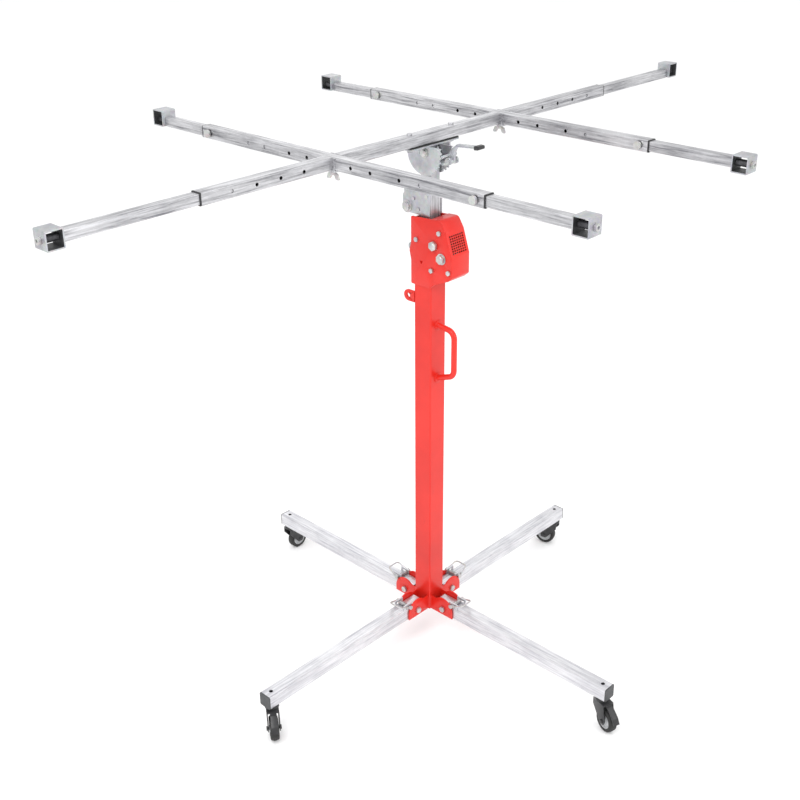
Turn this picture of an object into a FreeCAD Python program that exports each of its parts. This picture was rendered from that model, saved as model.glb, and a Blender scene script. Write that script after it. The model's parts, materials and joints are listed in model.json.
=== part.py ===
"""Drywall lift: a folding four-leg stand, a three-stage winch mast and a telescoping panel cradle.

Row frame: millimetres, +Z up, origin on the floor under the mast axis.  The main cradle beam lies
along X and the two cross-beams along Y; one leg points along each of -X, -Y, +Y and +X.
"""
import FreeCAD, Part
import math
import os
import re

import Sketcher

doc = FreeCAD.newDocument("drywall_lift")
V = FreeCAD.Vector
AXIS_X, AXIS_Y, AXIS_Z = V(1, 0, 0), V(0, 1, 0), V(0, 0, 1)

# ---------------------------------------------------------------- driving dimensions
DIMENSIONS = {
    # mast
    "mast_side": 60, "mast_wall": 2.5, "mast_bottom": 95, "mast_top": 1310, "base_plate": 4,
    "middle_side": 50, "inner_side": 40, "middle_bottom": 104, "inner_bottom": 110,
    "middle_top": 1306, "inner_top": 1392, "glide_gap": 0.4, "glide_length": 60,
    "tube_corner": 4, "beam_corner": 2.5, "stop_corner": 3,
    # legs
    "leg_side": 40, "leg_wall": 2.5, "leg_base": 95, "leg_pivot": 77, "leg_inner_end": 50,
    "caster_reach": 632, "leg_end": 652, "ear_thickness": 4, "ear_gap": 0.5, "ear_arc": 37,
    "ear_shoulder": 46, "pivot_radius": 5, "latch_radius": 4, "latch_gap": 0.5,
    # casters
    "wheel_radius": 34, "wheel_width": 24, "caster_trail": 28, "fork_gap": 29, "fork_sheet": 2.5,
    "axle_radius": 4, "stem_radius": 5,
    # winch
    "side_plate": 4, "drum_y": -69, "drum_z": 1217, "crank_y": -43, "gear_module": 1.75,
    "gear_teeth": 34, "pinion_teeth": 12, "gear_start": 20, "gear_face": 8, "shaft_radius": 8,
    "drum_core": 18, "drum_flange": 30, "drum_start": -18, "drum_end": 16, "rope_radius": 25,
    "crank_length": 160, "crank_angle": -20, "arm_start": 44, "guard_sheet": 1.5,
    # head
    "head_plate": 4, "fold_y": 60, "fold_z": 1331, "fold_radius": 8, "seat_start": 1394,
    "column_side": 34, "tilt_z": 1482, "tilt_radius": 6, "quadrant_radius": 58, "quadrant_gap": 40,
    "quadrant_plate": 4, "cradle_length": 180, "cradle_top": 1504, "pad_thickness": 3,
    "lever_y": -72, "lever_z": 1470,
    # cradle frame
    "beam_side": 30, "beam_wall": 2, "arm_side": 25, "arm_wall": 2, "frame_top": 1537,
    "main_half": 738, "cross_near": -341, "cross_far": 277, "cross_half": 470,
    "near_reach": 1072, "far_reach": 1085, "front_reach": 697, "rear_reach": 633.5, "fit_gap": 0.3,
    "saddle_wall": 3, "saddle_length": 46, "saddle_floor": 4, "snap_inset": 25,
    "stop_side": 42, "stop_wall": 3, "stop_offset": 9, "stop_bolt": 5,
}

sheet = doc.addObject("Spreadsheet::Sheet", "dims")
for row, (alias, number) in enumerate(DIMENSIONS.items(), start=1):
    sheet.set("A%d" % row, alias)
    sheet.set("B%d" % row, str(number))
    sheet.setAlias("B%d" % row, alias)
doc.recompute()


def linked(size):
    """Expression text for a number, or for a formula written with the sheet's aliases."""
    if not isinstance(size, str):
        return repr(float(size))
    return re.sub(r"[a-z_]\w*", lambda m: "dims." + m.group() if m.group() in DIMENSIONS else m.group(), size)


def dim(alias):
    """Number held in the sheet under this alias."""
    return float(getattr(sheet, alias))


# ---------------------------------------------------------------- small building blocks
made = []
TURNS = {"x": (AXIS_Y, 90), "y": (AXIS_X, -90), "z": (AXIS_Z, 0)}


def add(kind, name, **sizes):
    """Helper object of this kind with its size properties bound to formulas."""
    made.append(name)
    solid = doc.addObject(kind, "%s_%03d" % (name, len(made)))
    for prop, size in sizes.items():
        solid.setExpression(prop, linked(size))
    return solid


def set_base(solid, x, y, z):
    for letter, size in zip("xyz", (x, y, z)):
        solid.setExpression("Placement.Base." + letter, linked(size))
    return solid


def box(x, y, z, length, width, height):
    """Block from its low corner."""
    return set_base(add("Part::Box", "block", Length=length, Width=width, Height=height), x, y, z)


def mid_box(x, y, z, length, width, height):
    """Block centred in Y and Z, starting at x."""
    return box(x, "(%s) - (%s)/2" % (y, width), "(%s) - (%s)/2" % (z, height), length, width, height)


def bar(axis, x, y, z, radius, length):
    """Round bar from (x, y, z) along axis "x", "y" or "z"."""
    solid = add("Part::Cylinder", "bar", Radius=radius, Height=length)
    solid.Placement = FreeCAD.Placement(V(), FreeCAD.Rotation(*TURNS[axis]))
    return set_base(solid, x, y, z)


def hexagon(axis, x, y, z, corner, length, sides=6):
    """Hexagon bar, or one of another number of sides, of the given corner radius."""
    solid = add("Part::Prism", "hexagon", Circumradius=corner, Height=length)
    solid.Polygon = sides
    solid.Placement = FreeCAD.Placement(V(), FreeCAD.Rotation(*TURNS[axis]))
    return set_base(solid, x, y, z)


def cut(base, *tools):
    """Base less every tool."""
    for tool in tools:
        result = add("Part::Cut", "cut")
        result.Base, result.Tool = base, tool
        base = result
    return base


def join(*solids):
    """Welded union of touching solids."""
    if len(solids) == 1:
        return solids[0]
    result = add("Part::MultiFuse", "weld")
    result.Shapes = list(solids)
    result.Refine = True
    return result


def overlap(first, second):
    """Volume shared by two solids."""
    result = add("Part::Common", "shared")
    result.Base, result.Tool = first, second
    return result


def turned(angle, *solids):
    """Solids grouped and turned about the mast axis."""
    group = add("Part::Compound", "turned")
    group.Links = list(solids)
    group.Placement = FreeCAD.Placement(V(), FreeCAD.Rotation(AXIS_Z, angle))
    return group


def feature(shape):
    """A solid made directly from Part geometry, where neither primitives nor a body fit."""
    holder = add("Part::Feature", "shape")
    holder.Shape = shape
    return holder


def rounded_edges(outline):
    """Lines and tangent arcs of a closed outline; a corner is (a, b) or (a, b, radius)."""
    corners = [(V(p[0], p[1], 0), p[2] if len(p) > 2 else 0) for p in outline]
    bends = []
    for i, (corner, radius) in enumerate(corners):
        if not radius:
            bends.append((corner, None, corner))
            continue
        before = (corners[i - 1][0] - corner).normalize()
        after = (corners[(i + 1) % len(corners)][0] - corner).normalize()
        half = before.getAngle(after) / 2
        reach = radius / math.tan(half)
        centre = corner + (before + after).normalize() * (radius / math.sin(half))
        middle = centre + (corner - centre).normalize() * radius
        bends.append((corner + before * reach, middle, corner + after * reach))
    edges = []
    for i, (first, middle, last) in enumerate(bends):
        if middle is not None:
            edges.append(Part.Arc(first, middle, last))
        edges.append(Part.LineSegment(last, bends[(i + 1) % len(bends)][0]))
    return edges


def plate(outline, start, thickness, holes=(), role="YZ_Plane"):
    """PartDesign plate: an outline and round holes (a, b, radius) padded along the plane's normal.

    On YZ the outline is (y, z) and the pad runs along +X; on XZ it is (x, z) and runs along -Y.
    """
    body = add("PartDesign::Body", "plate")
    sketch = body.newObject("Sketcher::SketchObject", body.Name + "_outline")
    sketch.AttachmentSupport = [(next(f for f in body.Origin.OriginFeatures if f.Role == role), "")]
    sketch.MapMode = "FlatFace"
    sketch.AttachmentOffset = FreeCAD.Placement(V(0, 0, start), FreeCAD.Rotation())
    for edge in rounded_edges(outline):
        sketch.addGeometry(edge, False)
    for a, b, radius in holes:
        sketch.addGeometry(Part.Circle(V(a, b, 0), AXIS_Z, radius), False)
    pad = body.newObject("PartDesign::Pad", body.Name + "_pad")
    pad.Profile = sketch
    pad.setExpression("Length", linked(thickness))
    body.Tip = pad
    return body


EDGES_ALONG = {"x": (9, 10, 11, 12), "y": (2, 4, 6, 8), "z": (1, 3, 5, 7)}


def softened(block, axis, corner):
    """Block with its four edges along the axis rounded to the sheet's corner radius."""
    rounded = add("Part::Fillet", "softened")
    rounded.Base = block
    rounded.Edges = [(edge, dim(corner), dim(corner)) for edge in EDGES_ALONG[axis]]
    return rounded


def square_tube(axis, start, length, side, wall, z=0, corner="tube_corner"):
    """Square tube along "x" at height z, or along "z" on the mast axis."""
    bore = "(%s) - 2*(%s)" % (side, wall)
    if axis == "x":
        outer = mid_box(start, 0, z, length, side, side)
        hollow = mid_box("(%s) - 1" % start, 0, z, "(%s) + 2" % length, bore, bore)
    else:
        outer = box("-(%s)/2" % side, "-(%s)/2" % side, start, side, side, length)
        hollow = box("-(%s)/2" % bore, "-(%s)/2" % bore, "(%s) - 1" % start, bore, bore, "(%s) + 2" % length)
    return cut(softened(outer, axis, corner), hollow)


def rod_path(points, radius, bend):
    """Round rod along straight runs with a tangent arc of the given bend radius at each corner."""
    edges, last = [], points[0]
    for i in range(1, len(points) - 1):
        corner = points[i]
        before, after = (points[i - 1] - corner).normalize(), (points[i + 1] - corner).normalize()
        half = before.getAngle(after) / 2
        reach = bend / math.tan(half)
        centre = corner + (before + after).normalize() * (bend / math.sin(half))
        middle = centre + (corner - centre).normalize() * bend
        edges.append(Part.LineSegment(last, corner + before * reach).toShape())
        edges.append(Part.Arc(corner + before * reach, middle, corner + after * reach).toShape())
        last = corner + after * reach
    edges.append(Part.LineSegment(last, points[-1]).toShape())
    profile = Part.Wire(Part.makeCircle(radius, points[0], (points[1] - points[0]).normalize()))
    return Part.Wire(edges).makePipeShell([profile], True, False)


parts = {}


def node(name, *features, placement=None):
    """Publish features as one named node; more than one makes a group of separate solids."""
    owner = features[0]
    if len(features) > 1 or placement:
        owner = add("Part::Compound", "group")
        owner.Links = list(features)
        if placement:
            owner.Placement = placement
    owner.Label = name
    parts[name] = owner


def leg_frame(angle):
    return FreeCAD.Placement(V(), FreeCAD.Rotation(AXIS_Z, angle))


# ---------------------------------------------------------------- mast
def build_mast():
    node("outer_mast", square_tube("z", "mast_bottom + base_plate", "mast_top - mast_bottom - base_plate",
                                   "mast_side", "mast_wall"))
    node("middle_mast", square_tube("z", "middle_bottom", "middle_top - middle_bottom",
                                    "middle_side", "mast_wall"))
    bore = "inner_side - 2*mast_wall"
    cap = box("-(%s)/2" % bore, "-(%s)/2" % bore, "inner_top - 4", bore, bore, 4)
    node("inner_mast", join(square_tube("z", "inner_bottom", "inner_top - inner_bottom",
                                        "inner_side", "mast_wall"), cap))
    # nylon glide strips at the top of each tube that another one slides in, one per side
    for name, holder, slider, top in (("outer_glides", "mast_side", "middle_side", "mast_top - 4"),
                                      ("middle_glides", "middle_side", "inner_side", "middle_top - 2")):
        face = "(%s/2 - mast_wall)" % holder
        thick = "(%s - %s/2 - glide_gap)" % (face, slider)
        low = "%s - glide_length" % top
        node(name, box(-14, "%s - %s" % (face, thick), low, 28, thick, "glide_length"),
             box(-14, "-" + face, low, 28, thick, "glide_length"),
             box("%s - %s" % (face, thick), -14, low, thick, 28, "glide_length"),
             box("-" + face, -14, low, thick, 28, "glide_length"))


# ---------------------------------------------------------------- legs and casters
LEGS = {"front_left": 180, "front_right": 270, "rear_left": 90, "rear_right": 0}
# direction each caster trails at rest, seen from its own leg's outward direction
CASTER_YAW = {"front_left": 55, "front_right": -20, "rear_left": -90, "rear_right": 105}
EAR_FACE = "(leg_side/2 + ear_gap)"
PIVOT_Z = "(leg_base + leg_side/2)"


def build_leg_brackets():
    pieces = [box("-mast_side/2", "-mast_side/2", "mast_bottom", "mast_side", "mast_side", "base_plate")]
    for angle in LEGS.values():
        for y in (EAR_FACE, "-%s - ear_thickness" % EAR_FACE):
            root = box("mast_side/2", y, "leg_base", "leg_pivot - mast_side/2", "ear_thickness",
                       "ear_shoulder")
            toe = box("leg_pivot - 1", y, "leg_base", "ear_arc + 1", "ear_thickness", "leg_side/2")
            disc = cut(bar("y", "leg_pivot", y, PIVOT_Z, "ear_arc", "ear_thickness"),
                       box("leg_pivot - 50", "%s - 1" % y, "leg_base - 50", 100, "ear_thickness + 2", 50))
            hole = bar("y", "leg_pivot", "%s - 1" % y, PIVOT_Z, "pivot_radius", "ear_thickness + 2")
            pieces.append(turned(angle, cut(join(root, toe, disc), hole)))
        for side in (-1, 1):
            # the tube's own wall carries each pair of ears through a weld pad
            pieces.append(turned(angle, box("mast_side/2", -24 if side < 0 else 20.5, "leg_base", 2,
                                            3.5, "ear_shoulder")))
    node("leg_brackets", join(*pieces))
    bolts = []
    outside = "(%s + ear_thickness)" % EAR_FACE
    for angle in LEGS.values():
        bolts.append(turned(angle, join(
            bar("y", "leg_pivot", "-" + outside, PIVOT_Z, "pivot_radius", "2*%s" % outside),
            hexagon("y", "leg_pivot", "-%s - 6" % outside, PIVOT_Z, 9.5, 6.01),
            hexagon("y", "leg_pivot", outside + " - 0.01", PIVOT_Z, 9.5, 7))))
    node("leg_pivot_bolts", *bolts)


LATCH_RADIUS = "(ear_arc + latch_radius + latch_gap)"
LATCH_RISE = "(leg_side/2 + latch_radius + 1.5)"
LATCH_REACH = "(leg_pivot + sqrt(%s^2 - %s^2))" % (LATCH_RADIUS, LATCH_RISE)


def build_leg(name, angle):
    tube = square_tube("x", "leg_inner_end", "leg_end - leg_inner_end", "leg_side", "leg_wall", PIVOT_Z)
    tube = cut(tube, bar("y", "leg_pivot", "-leg_side", PIVOT_Z, "pivot_radius + 0.05", "2*leg_side"),
               bar("z", "caster_reach", 0, "leg_base - 5", "stem_radius + 0.05", 15),
               bar("z", "caster_reach", 0, PIVOT_Z, 5.5, "leg_side"))
    # two upright lugs with a slot guide the latch bar along the leg
    for y in ("leg_side/2 - 4", "-leg_side/2"):
        lug = box(LATCH_REACH + " - 11", y, "leg_base + leg_side - 0.5", 32, 4, 16)
        slot = box(LATCH_REACH + " - latch_radius - 0.6", "(%s) - 2" % y,
                   "%s + %s - latch_radius - 0.3" % (PIVOT_Z, LATCH_RISE), 20, 8, "2*latch_radius + 0.6")
        tube = join(tube, cut(lug, slot))
    bore = "leg_side - 2*leg_wall"
    plug = join(mid_box("leg_end - 9", 0, PIVOT_Z, 9, bore, bore),
                softened(mid_box("leg_end", 0, PIVOT_Z, 3, "leg_side", "leg_side"), "x", "tube_corner"))
    inner_plug = mid_box("leg_inner_end", 0, PIVOT_Z, 10, bore, bore)
    node(name + "_leg", tube, plug, inner_plug, placement=leg_frame(angle))


def build_latch(name, angle):
    """Spring bar across the leg behind the ears, with a wire pull loop over the leg's top."""
    radius = dim("ear_arc") + dim("latch_radius") + dim("latch_gap")
    rise = dim("leg_side") / 2 + dim("latch_radius") + 1.5
    along = dim("leg_pivot") + math.sqrt(radius ** 2 - rise ** 2)
    high = dim("leg_base") + dim("leg_side") / 2 + rise
    half = 29
    solid = Part.makeCylinder(dim("latch_radius"), 2 * half, V(along, -half, high), AXIS_Y)
    for y in (-half, half - 3):
        solid = solid.fuse(Part.makeCylinder(dim("latch_radius") + 2, 3, V(along, y, high), AXIS_Y))
    corners = [(0, -half + 1.5, 0), (40, -20, 16.5), (40, 20, 16.5), (0, half - 1.5, 0)]
    loop = rod_path([V(along, 0, high) + V(*corner) for corner in corners], 2.2, 10)
    node(name + "_latch", feature(solid.fuse(loop).removeSplitter()), placement=leg_frame(angle))


def build_caster(name, angle):
    """Swivel fork with stem, crown and brake pedal, and its wheel, at the rest swivel angle."""
    cheek = "(fork_gap/2)"
    stem = join(bar("z", 0, 0, "leg_base - 10", "stem_radius", 18),
                bar("z", 0, 0, "leg_base + leg_wall + 0.3", 9, 3.2),
                bar("z", 0, 0, "leg_base - 9", 20, 8.5),
                box(-15, "-%s - fork_sheet" % cheek, "leg_base - 12", 45, "fork_gap + 2*fork_sheet", 3.2))
    axle_z, trail, top = dim("wheel_radius"), dim("caster_trail"), dim("leg_base") - 12
    outline = [(-15, top, 2), (30, top, 4), (trail + 12, axle_z + 6, 6), (trail + 9, axle_z - 9, 7),
               (trail - 9, axle_z - 9, 7), (-15, top - 16, 4)]
    cheeks = [plate(outline, start, "fork_sheet", role="XZ_Plane")
              for start in (-dim("fork_gap") / 2 - dim("fork_sheet"), dim("fork_gap") / 2)]
    side = "(%s + fork_sheet)" % cheek
    axle = join(bar("y", "caster_trail", "-" + side, "wheel_radius", "axle_radius", "2*%s" % side),
                hexagon("y", "caster_trail", "-%s - 3.5" % side, "wheel_radius", 6.5, 3.51),
                hexagon("y", "caster_trail", side + " - 0.01", "wheel_radius", 6.5, 3.5))
    pedal = plate([(trail - 2, top + 0.5), (trail + 10, top + 0.5, 6), (trail + 36, axle_z + 30, 4),
                   (trail + 45, axle_z + 14), (trail + 42, axle_z + 12), (trail + 33, axle_z + 25, 3),
                   (trail + 9, top - 3, 5), (trail - 2, top - 3)], -9, 18, role="XZ_Plane")
    fork = join(stem, *cheeks, axle, pedal)
    frame = leg_frame(angle).multiply(FreeCAD.Placement(V(dim("caster_reach"), 0, 0),
                                                        FreeCAD.Rotation(AXIS_Z, CASTER_YAW[name])))
    node(name + "_caster_fork", fork, placement=frame)
    width = "wheel_width"
    tyre = bar("y", "caster_trail", "-%s/2" % width, "wheel_radius", "wheel_radius", width)
    rounded = add("Part::Fillet", "rounded")
    rounded.Base = tyre
    doc.recompute()
    rims = [i + 1 for i, edge in enumerate(tyre.Shape.Edges) if edge.Curve.TypeId == "Part::GeomCircle"]
    rounded.Edges = [(rim, 4, 4) for rim in rims]
    hub = bar("y", "caster_trail", "-%s/2 - 1.2" % width, "wheel_radius", 12, width + " + 2.4")
    bore = bar("y", "caster_trail", -30, "wheel_radius", "axle_radius + 0.05", 60)
    node(name + "_caster_wheel", cut(join(rounded, hub), bore), placement=frame)


# ---------------------------------------------------------------- handle and lug
def build_handle():
    face = -dim("mast_side") / 2
    low, high, out = 855, 1012, 58
    loop = rod_path([V(0, face, low), V(0, face - out, low + 22), V(0, face - out, high - 6), V(0, face, high)],
                    8, 24)
    loop = loop.cut(Part.makeBox(60, 30, 400, V(-30, face, 750)))
    for z in (low, high):
        loop = loop.fuse(Part.makeCylinder(13, 3, V(0, face - 3, z), AXIS_Y))
    node("carry_handle", feature(loop.removeSplitter()))


def build_lug():
    face = dim("mast_side") / 2
    tab = [(face, 1070), (68, 1070, 15.9), (68, 1102, 15.9), (face, 1102)]
    node("mast_lug", plate(tab, -face, 6, holes=[(52, 1086, 6)]))


# ---------------------------------------------------------------- winch
TIE_BOLTS = {"upper": (-62, 1285), "lower": (-36, 1178), "front": (-95, 1185)}
# top and front edge of the side plates, which the guard follows: (y, z, corner radius)
PLATE_FRONT = [(-34, 1316.14, 0), (-66, 1318, 12), (-84, 1290, 8), (-104, 1228, 10), (-104, 1172, 8),
               (-90, 1160.4, 0)]


def crank_axis():
    """Crank shaft centre (y, z): one gear centre distance from the drum axle."""
    distance = dim("gear_module") * (dim("gear_teeth") + dim("pinion_teeth")) / 2
    rise = math.sqrt(distance ** 2 - (dim("crank_y") - dim("drum_y")) ** 2)
    return dim("crank_y"), dim("drum_z") + rise


def gear_phase():
    """Direction from the drum axle to the crank shaft."""
    crank = crank_axis()
    return math.atan2(crank[1] - dim("drum_z"), crank[0] - dim("drum_y"))


def gear(teeth, centre, phase):
    """Spur gear facing X with one tooth's middle at the phase angle."""
    module, pressure = dim("gear_module"), math.radians(25)
    pitch = module * teeth / 2
    base, tip, root = pitch * math.cos(pressure), pitch + 0.8 * module, pitch - 1.1 * module

    def involute(radius):
        slope = math.acos(min(1.0, base / radius))
        return math.tan(slope) - slope

    half = math.pi / (2 * teeth) - 0.10 / pitch
    start = max(base, root)
    flank = [(start + (tip - start) * k / 3) for k in range(4)]
    flank = [(r, half + involute(pitch) - involute(r)) for r in flank]
    if start > root:
        flank.insert(0, (root, flank[0][1]))
    points = []
    for i in range(teeth):
        middle = phase + 2 * math.pi * i / teeth
        points += [(r, middle - spread) for r, spread in flank]
        points += [(r, middle + spread) for r, spread in reversed(flank)]
    ring = [V(dim("gear_start"), centre[0] + r * math.cos(a), centre[1] + r * math.sin(a)) for r, a in points]
    return Part.Face(Part.makePolygon(ring + ring[:1])).extrude(V(dim("gear_face"), 0, 0))


def build_winch_frame():
    crank, drum = crank_axis(), (dim("drum_y"), dim("drum_z"))
    outline = [(37, 1312, 4)] + PLATE_FRONT[1:5] + [
        (-88, 1158.6, 4), (-45, 1140, 8), (-30, 1126, 4), (37, 1126, 4), (37, 1192, 20), (43, 1217, 12),
        (37, 1242, 20)]
    holes = [(crank[0], crank[1], dim("shaft_radius")), (drum[0], drum[1], dim("shaft_radius"))]
    holes += [(y, z, 4) for y, z in TIE_BOLTS.values()]
    for name, start in (("near", -dim("mast_side") / 2 - dim("side_plate")), ("far", dim("mast_side") / 2)):
        sighting = hexagon("x", start - 1, 1, 1193, 6.5, "side_plate + 2", sides=3)
        node("winch_plate_" + name, cut(plate(outline, start, "side_plate", holes), sighting))
    # drum axle, tie bolts between the plates and the screws into the mast
    outer = "(mast_side/2 + side_plate)"
    bolts = [join(bar("x", "-" + outer, "drum_y", "drum_z", "shaft_radius", "2*%s" % outer),
                  hexagon("x", "-%s - 8" % outer, "drum_y", "drum_z", 13, 8.01),
                  hexagon("x", outer + " - 0.01", "drum_y", "drum_z", 13, 8))]
    for y, z in TIE_BOLTS.values():
        bolts.append(join(bar("x", "-" + outer, y, z, 4, "2*%s" % outer),
                          hexagon("x", "-%s - 5" % outer, y, z, 7, 5.01),
                          hexagon("x", outer + " - 0.01", y, z, 7, 5)))
    bolts += [bar("x", "-%s - 4" % outer, 18, 1252, 6.5, 4), bar("x", outer, 18, 1252, 6.5, 4)]
    node("winch_bolts", *bolts)


def build_guard():
    """Bent sheet along the plates' top and front edges with a grid of slots in its sloping face."""
    sheet_t, path = dim("guard_sheet"), [V(0, y, z) for y, z, radius in PLATE_FRONT]
    radii = [radius for y, z, radius in PLATE_FRONT]
    outward = [V(0, (b - a).z, -(b - a).y).normalize() for a, b in zip(path, path[1:])]
    lifted = []
    for i, point in enumerate(path):
        first, second = outward[max(i - 1, 0)], outward[min(i, len(outward) - 1)]
        mitre = (first + second).normalize()
        lifted.append(point + mitre * (sheet_t / mitre.dot(first)))
    outer_radii = [radius + sheet_t if radius else 0 for radius in radii]
    profile = [(p.y, p.z, radius) for p, radius in zip(path + lifted[::-1], radii + outer_radii[::-1])]
    skin = plate(profile, -35, 70)
    slope = (path[3] - path[2]).normalize()
    turn = FreeCAD.Rotation(AXIS_X, slope, outward[2] * -1, "XYZ")
    slots = []
    for column in range(7):
        for row in range(8):
            slot = add("Part::Box", "slot", Length=5.4, Width=4.2, Height=12)
            slot.Placement = FreeCAD.Placement(path[2] + slope * (10 + 6.4 * row) + outward[2] * 6
                                               + V(7.9 * column - 26.4, 0, 0), turn)
            slots.append(slot)
    grid = add("Part::Compound", "slots")
    grid.Links = slots
    node("winch_guard", cut(skin, grid))


def build_drum():
    centre = ("drum_y", "drum_z")
    bore = bar("x", -40, *centre, "shaft_radius + 0.05", 80)
    hub = bar("x", "-mast_side/2 + 0.5", *centre, 12, "mast_side - 1")
    core = bar("x", "drum_start", *centre, "drum_core", "gear_start - drum_start")
    flanges = [bar("x", start, *centre, "drum_flange", 2.5) for start in ("drum_start", "drum_end - 2.5")]
    node("rope_drum", cut(join(hub, core, *flanges), bore))
    wheel = feature(gear(int(dim("gear_teeth")), (dim("drum_y"), dim("drum_z")), gear_phase()))
    windows = []
    for i in range(5):
        turn = 2 * math.pi * i / 5 + 0.3
        windows.append(bar("x", "gear_start - 5", "drum_y + %f" % (19.5 * math.cos(turn)),
                           "drum_z + %f" % (19.5 * math.sin(turn)), 4.5, 30))
    node("drum_gear", cut(wheel, bar("x", 0, *centre, 12, 60), *windows))
    width = "drum_end - drum_start - 5"
    rope = cut(bar("x", "drum_start + 2.5", *centre, "rope_radius", width),
               bar("x", "drum_start", *centre, "drum_core", 60))
    node("hoist_rope", rope)


def build_crank():
    crank = crank_axis()
    outer, reach = "(mast_side/2 + side_plate)", dim("crank_length")
    shaft = [bar("x", "-%s - 0.3" % outer, *crank, "shaft_radius - 0.05", "arm_start + 6 + %s + 0.3" % outer),
             hexagon("x", "-%s - 8.3" % outer, *crank, 13, 8.01)]
    # the pinion sits half a tooth off the drum gear's tooth, so the two mesh at rest
    teeth = int(dim("pinion_teeth"))
    shaft.append(feature(gear(teeth, crank, gear_phase() + math.pi + math.pi / teeth)))
    ratchet = []
    for i in range(12):
        for radius, angle in ((11.3, i * math.pi / 6), (8.6, i * math.pi / 6 + 0.44)):
            ratchet.append((crank[0] + radius * math.cos(angle), crank[1] + radius * math.sin(angle)))
    shaft.append(plate(ratchet, -27, 6))
    node("pinion_shaft", join(*shaft))
    # flat arm with a boss at each end, and the spindle the grip turns on
    turn = math.radians(dim("crank_angle"))
    end = (crank[0] + reach * math.cos(turn), crank[1] + reach * math.sin(turn))
    flat = add("Part::Box", "flat", Length=6, Width="crank_length", Height=24)
    flat.Placement = FreeCAD.Placement(V(0, *crank), FreeCAD.Rotation(AXIS_X, dim("crank_angle"))).multiply(
        FreeCAD.Placement(V(dim("arm_start"), 0, -12), FreeCAD.Rotation()))
    arm = join(flat, bar("x", "%s + 1.5" % outer, *crank, 14, "arm_start + 6 - %s - 1.5" % outer),
               bar("x", "arm_start", *end, 12, 6), bar("x", "arm_start + 6 - 0.01", *end, 5, 103),
               bar("x", "arm_start + 107", *end, 8, 4))
    node("crank_arm", cut(arm, bar("x", "%s - 5" % outer, *crank, "shaft_radius - 0.05", 60)))
    grip = cut(bar("x", "arm_start + 8", *end, 14, 98), bar("x", "arm_start", *end, 5.06, 130))
    node("crank_grip", grip)


def build_pawl():
    """Ratchet pawl hung on the upper tie bolt, its nose just clear of the ratchet's teeth."""
    pivot, crank = TIE_BOLTS["upper"], crank_axis()
    dy, dz = crank[0] - pivot[0], crank[1] - pivot[1]
    apart, clear = math.hypot(dy, dz), 15.5
    lean = math.atan2(dz, dy) - math.asin(clear / apart)
    run = math.sqrt(apart ** 2 - clear ** 2)

    def at(along, across):
        return (pivot[0] + along * math.cos(lean) - across * math.sin(lean),
                pivot[1] + along * math.sin(lean) + across * math.cos(lean))

    blade = plate([at(0, -3.5), at(run + 4, -3.5), at(run + 4, 2), at(run, 3.6), at(run - 8, 2.4), at(0, 4.5)],
                  -27, 6)
    node("ratchet_pawl", cut(join(blade, bar("x", -27, *pivot, 9, 6)), bar("x", -40, *pivot, 4.05, 30)))


# ---------------------------------------------------------------- folding head
def build_head():
    fold = (dim("fold_y"), dim("fold_z"))
    half = dim("inner_side") / 2
    outline = [(-20, 1316, 4), (75, 1316, 15), (75, 1364, 14), (44, 1388, 8), (-20, 1388, 4)]
    holes = [(*fold, dim("fold_radius"))]
    node("head_bracket", plate(outline, -half - dim("head_plate"), "head_plate", holes),
         plate(outline, half, "head_plate", holes))
    outer = "(inner_side/2 + head_plate)"
    bolts = [join(bar("x", "-" + outer, "fold_y", "fold_z", "fold_radius", "2*%s" % outer),
                  hexagon("x", "-%s - 7" % outer, "fold_y", "fold_z", 12, 7.01),
                  hexagon("x", outer + " - 0.01", "fold_y", "fold_z", 12, 7))]
    for y, z in ((37, 1356), (20, 1330), (-8, 1370)):
        bolts += [bar("x", "-%s - 3" % outer, y, z, 4.5, 3), bar("x", outer, y, z, 4.5, 3)]
    node("fold_bolts", *bolts)
    # knuckle between the plates, seat over the mast's end, square column and the lever's bracket
    inside = "(inner_side/2 - 0.5)"
    knuckle = overlap(box("-" + inside, 43, 1319, "2*" + inside, 32, 80),
                      join(bar("x", -30, "fold_y", "fold_z", 15, 60), box(-30, 43, "fold_z", 60, 32, 70)))
    seat = box("-" + inside, -18, "seat_start", "2*" + inside, 93, 8)
    column = join(box("-column_side/2", "-column_side/2", "seat_start", "column_side", "column_side",
                      "tilt_z - seat_start"),
                  bar("x", "-column_side/2", 0, "tilt_z", "column_side/2", "column_side"))
    hollow = box(-13, -13, 1405, 26, 26, 50)
    slot = box(-11.5, -30, 1456, 23, 60, 60)
    ears = [plate([(-10, 1452), (dim("lever_y"), 1460, 10), (dim("lever_y") - 10, 1464, 4),
                   (dim("lever_y") - 10, 1480, 9.5), (dim("lever_y") + 5, 1480, 6), (-59, 1466, 8),
                   (-10, 1474)],
                  start, 4.5, holes=[(dim("lever_y"), dim("lever_z"), 4)]) for start in (-16, 11.5)]
    body = cut(join(cut(join(knuckle, seat, column), hollow, slot), *ears),
               bar("x", -40, "fold_y", "fold_z", "fold_radius + 0.05", 80),
               bar("x", -40, 0, "tilt_z", "tilt_radius", 80))
    node("head_column", body)
    tilt_half = "(quadrant_gap/2 + quadrant_plate)"
    tilt = join(bar("x", "-%s - 0.3" % tilt_half, 0, "tilt_z", "tilt_radius", "2*%s + 0.6" % tilt_half),
                hexagon("x", "-%s - 6.3" % tilt_half, 0, "tilt_z", 10, 6.01),
                hexagon("x", tilt_half + " + 0.29", 0, "tilt_z", 10, 6))
    lever_pin = join(bar("x", -16, "lever_y", "lever_z", 4, 32),
                     bar("x", -19, "lever_y", "lever_z", 7, 3.01), bar("x", 15.99, "lever_y", "lever_z", 7, 3))
    node("tilt_bolts", tilt, lever_pin)


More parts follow.
